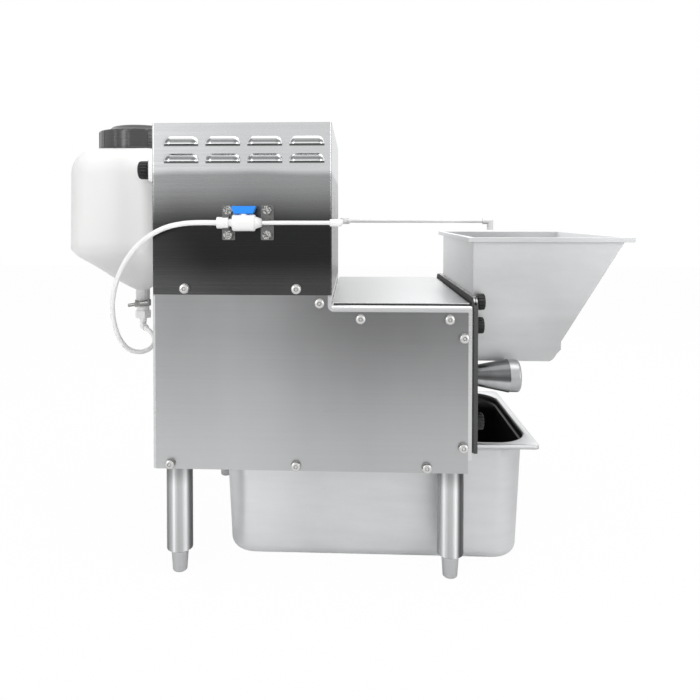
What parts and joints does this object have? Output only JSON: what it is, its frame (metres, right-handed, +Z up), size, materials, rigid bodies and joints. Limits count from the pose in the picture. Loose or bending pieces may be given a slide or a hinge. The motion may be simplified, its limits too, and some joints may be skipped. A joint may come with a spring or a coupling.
{
  "type": "electric corn grinder",
  "caption": "Electric stone mill for cooked corn: steel body on legs, hopper and feed screw, catch pan, belt drive under a louvred housing, water tank with hose, valve and drip arm.",
  "frame": {"origin": "centre of the bounding box's base, on the floor under the feet", "axes": "+X from the water tank to the hopper, +Y from the valve's side to the switch's side, +Z up"},
  "size_m": [0.926, 0.5032, 0.7345],
  "materials": {
    "carcass_steel": "brushed stainless sheet",
    "housing_steel": "brushed stainless sheet",
    "satin_steel": "satin stainless sheet",
    "leg_steel": "satin stainless tube",
    "zinc_steel": "bright zinc plated",
    "turned_steel": "turned and polished",
    "shaft_steel": "ground bright",
    "grey_iron": "machined casting",
    "green_paint": "painted casting",
    "motor_paint": "painted casting",
    "stone": "dressed volcanic stone",
    "black_rubber": "moulded rubber",
    "black_plastic": "moulded, fine grain",
    "tank_plastic": "blow moulded, satin",
    "white_plastic": "moulded, satin",
    "hose_plastic": "extruded tube",
    "blue_plastic": "moulded, gloss",
    "box_plastic": "moulded, fine grain",
    "green_plastic": "moulded, gloss",
    "red_plastic": "moulded, gloss"
  },
  "bodies": {
    "body": {"body_frame": "carcass_steel", "body_walls": "carcass_steel", "side_panel_near": "carcass_steel", "side_panel_far": "carcass_steel", "panel_bolts": "zinc_steel", "cover_gasket": "black_rubber", "upper_housing": "housing_steel", "motor_deck": "carcass_steel", "motor_case": "motor_paint", "fan_cowl": "motor_paint", "drive_belts": "black_rubber", "shaft_bearings": "green_paint", "bearing_beams": "carcass_steel", "grinding_chamber": "satin_steel", "front_plate": "carcass_steel", "plate_gasket": "black_rubber", "weld_studs": "zinc_steel", "hopper": "satin_steel", "legs": "leg_steel", "water_tank": "tank_plastic", "outlet_clamp": "zinc_steel", "outlet_fitting": "white_plastic", "outlet_elbow": "white_plastic", "water_hose": "hose_plastic", "valve_body": "white_plastic", "valve_brackets": "zinc_steel", "water_pipe": "white_plastic", "switch_box": "box_plastic", "cable_gland": "black_plastic"},
    "grinding_rotor": {"main_shaft": "shaft_steel", "drive_pulley": "grey_iron", "stone_driver": "grey_iron", "running_stone": "stone", "feed_screw": "shaft_steel"},
    "motor_rotor": {"motor_shaft": "shaft_steel", "motor_pulley": "grey_iron", "motor_fan": "black_plastic"},
    "gap_screw_near": {"gap_knob_near": "turned_steel"},
    "gap_screw_far": {"gap_knob_far": "turned_steel"},
    "stone_slide": {"stone_carrier": "carcass_steel", "fixed_stone": "stone"},
    "clamp_knob_a": {"clamp_knob_1": "black_plastic"},
    "clamp_knob_b": {"clamp_knob_2": "black_plastic"},
    "clamp_knob_c": {"clamp_knob_3": "black_plastic"},
    "clamp_knob_d": {"clamp_knob_4": "black_plastic"},
    "hopper_knob_a": {"hopper_knob_near": "black_plastic"},
    "hopper_knob_b": {"hopper_knob_far": "black_plastic"},
    "tank_knob_a": {"tank_knob_near": "black_plastic"},
    "tank_knob_b": {"tank_knob_far": "black_plastic"},
    "foot_a": {"foot_1": "leg_steel"},
    "foot_b": {"foot_2": "leg_steel"},
    "foot_c": {"foot_3": "leg_steel"},
    "foot_d": {"foot_4": "leg_steel"},
    "pan": {"catch_pan": "satin_steel"},
    "cap": {"tank_cap": "black_plastic"},
    "cover": {"top_cover": "carcass_steel"},
    "handle": {"valve_handle": "blue_plastic"},
    "arm": {"drip_arm": "white_plastic"},
    "start": {"start_button": "green_plastic"},
    "stop": {"stop_button": "red_plastic"}
  },
  "joints": [
    {"name": "main_spin", "type": "hinge", "parent": "body", "child": "grinding_rotor", "pos_m": [0, 0, 0.335], "axis": [1, 0, 0], "continuous": true},
    {"name": "motor_spin", "type": "hinge", "parent": "body", "child": "motor_rotor", "pos_m": [-0.2, 0, 0.545], "axis": [1, 0, 0], "continuous": true},
    {"name": "gap_near_turn", "type": "hinge", "parent": "body", "child": "gap_screw_near", "pos_m": [0.25, -0.195, 0.318], "axis": [1, 0, 0], "range_deg": [0, 720]},
    {"name": "gap_far_turn", "type": "hinge", "parent": "body", "child": "gap_screw_far", "pos_m": [0.25, 0.195, 0.318], "axis": [1, 0, 0], "range_deg": [0, 720]},
    {"name": "stone_gap", "type": "slide", "parent": "body", "child": "stone_slide", "axis": [1, 0, 0], "range_m": [0, 0.003]},
    {"name": "clamp_1_turn", "type": "hinge", "parent": "body", "child": "clamp_knob_a", "pos_m": [0.22, -0.192, 0.245], "axis": [1, 0, 0], "continuous": true},
    {"name": "clamp_2_turn", "type": "hinge", "parent": "body", "child": "clamp_knob_b", "pos_m": [0.22, -0.192, 0.396], "axis": [1, 0, 0], "continuous": true},
    {"name": "clamp_3_turn", "type": "hinge", "parent": "body", "child": "clamp_knob_c", "pos_m": [0.22, 0.192, 0.245], "axis": [1, 0, 0], "continuous": true},
    {"name": "clamp_4_turn", "type": "hinge", "parent": "body", "child": "clamp_knob_d", "pos_m": [0.22, 0.192, 0.396], "axis": [1, 0, 0], "continuous": true},
    {"name": "hopper_near_turn", "type": "hinge", "parent": "body", "child": "hopper_knob_a", "pos_m": [0.222, -0.192, 0.433], "axis": [1, 0, 0], "continuous": true},
    {"name": "hopper_far_turn", "type": "hinge", "parent": "body", "child": "hopper_knob_b", "pos_m": [0.222, 0.192, 0.433], "axis": [1, 0, 0], "continuous": true},
    {"name": "tank_near_turn", "type": "hinge", "parent": "body", "child": "tank_knob_a", "pos_m": [-0.317, -0.16, 0.642], "axis": [1, 0, 0], "continuous": true},
    {"name": "tank_far_turn", "type": "hinge", "parent": "body", "child": "tank_knob_b", "pos_m": [-0.317, 0.16, 0.642], "axis": [1, 0, 0], "continuous": true},
    {"name": "foot_1_turn", "type": "hinge", "parent": "body", "child": "foot_a", "pos_m": [-0.253, -0.195, 0.02], "axis": [0, 0, 1], "range_deg": [0, 720]},
    {"name": "foot_2_turn", "type": "hinge", "parent": "body", "child": "foot_b", "pos_m": [0.177, -0.195, 0.02], "axis": [0, 0, 1], "range_deg": [0, 720]},
    {"name": "foot_3_turn", "type": "hinge", "parent": "body", "child": "foot_c", "pos_m": [-0.253, 0.195, 0.02], "axis": [0, 0, 1], "range_deg": [0, 720]},
    {"name": "foot_4_turn", "type": "hinge", "parent": "body", "child": "foot_d", "pos_m": [0.177, 0.195, 0.02], "axis": [0, 0, 1], "range_deg": [0, 720]},
    {"name": "pan_slide", "type": "slide", "parent": "body", "child": "pan", "axis": [1, 0, 0], "range_m": [0, 0.3]},
    {"name": "cap_turn", "type": "hinge", "parent": "body", "child": "cap", "pos_m": [-0.376, 0, 0.71], "axis": [0, 0, 1], "range_deg": [0, 450]},
    {"name": "cover_lift", "type": "slide", "parent": "body", "child": "cover", "axis": [0, 0, 1], "range_m": [0, 0.11]},
    {"name": "valve_turn", "type": "hinge", "parent": "body", "child": "handle", "pos_m": [-0.141, -0.2405, 0.57], "axis": [0, 0, 1], "range_deg": [0, 90]},
    {"name": "arm_swing", "type": "hinge", "parent": "body", "child": "arm", "pos_m": [0.003, -0.003, 0.557], "axis": [0, -1, 0], "range_deg": [0, 80]},
    {"name": "start_press", "type": "slide", "parent": "body", "child": "start", "axis": [0, -1, 0], "range_m": [0, 0.003], "stiffness_N_per_m": 400},
    {"name": "stop_press", "type": "slide", "parent": "body", "child": "stop", "axis": [0, -1, 0], "range_m": [0, 0.003], "stiffness_N_per_m": 400}
  ],
  "couplings": [
    {"joint": "motor_spin", "follows": "main_spin", "ratio": 2.5},
    {"joint": "gap_far_turn", "follows": "gap_near_turn", "ratio": 1},
    {"joint": "stone_gap", "follows": "gap_near_turn", "m_per_rad": 0.0002387}
  ]
}
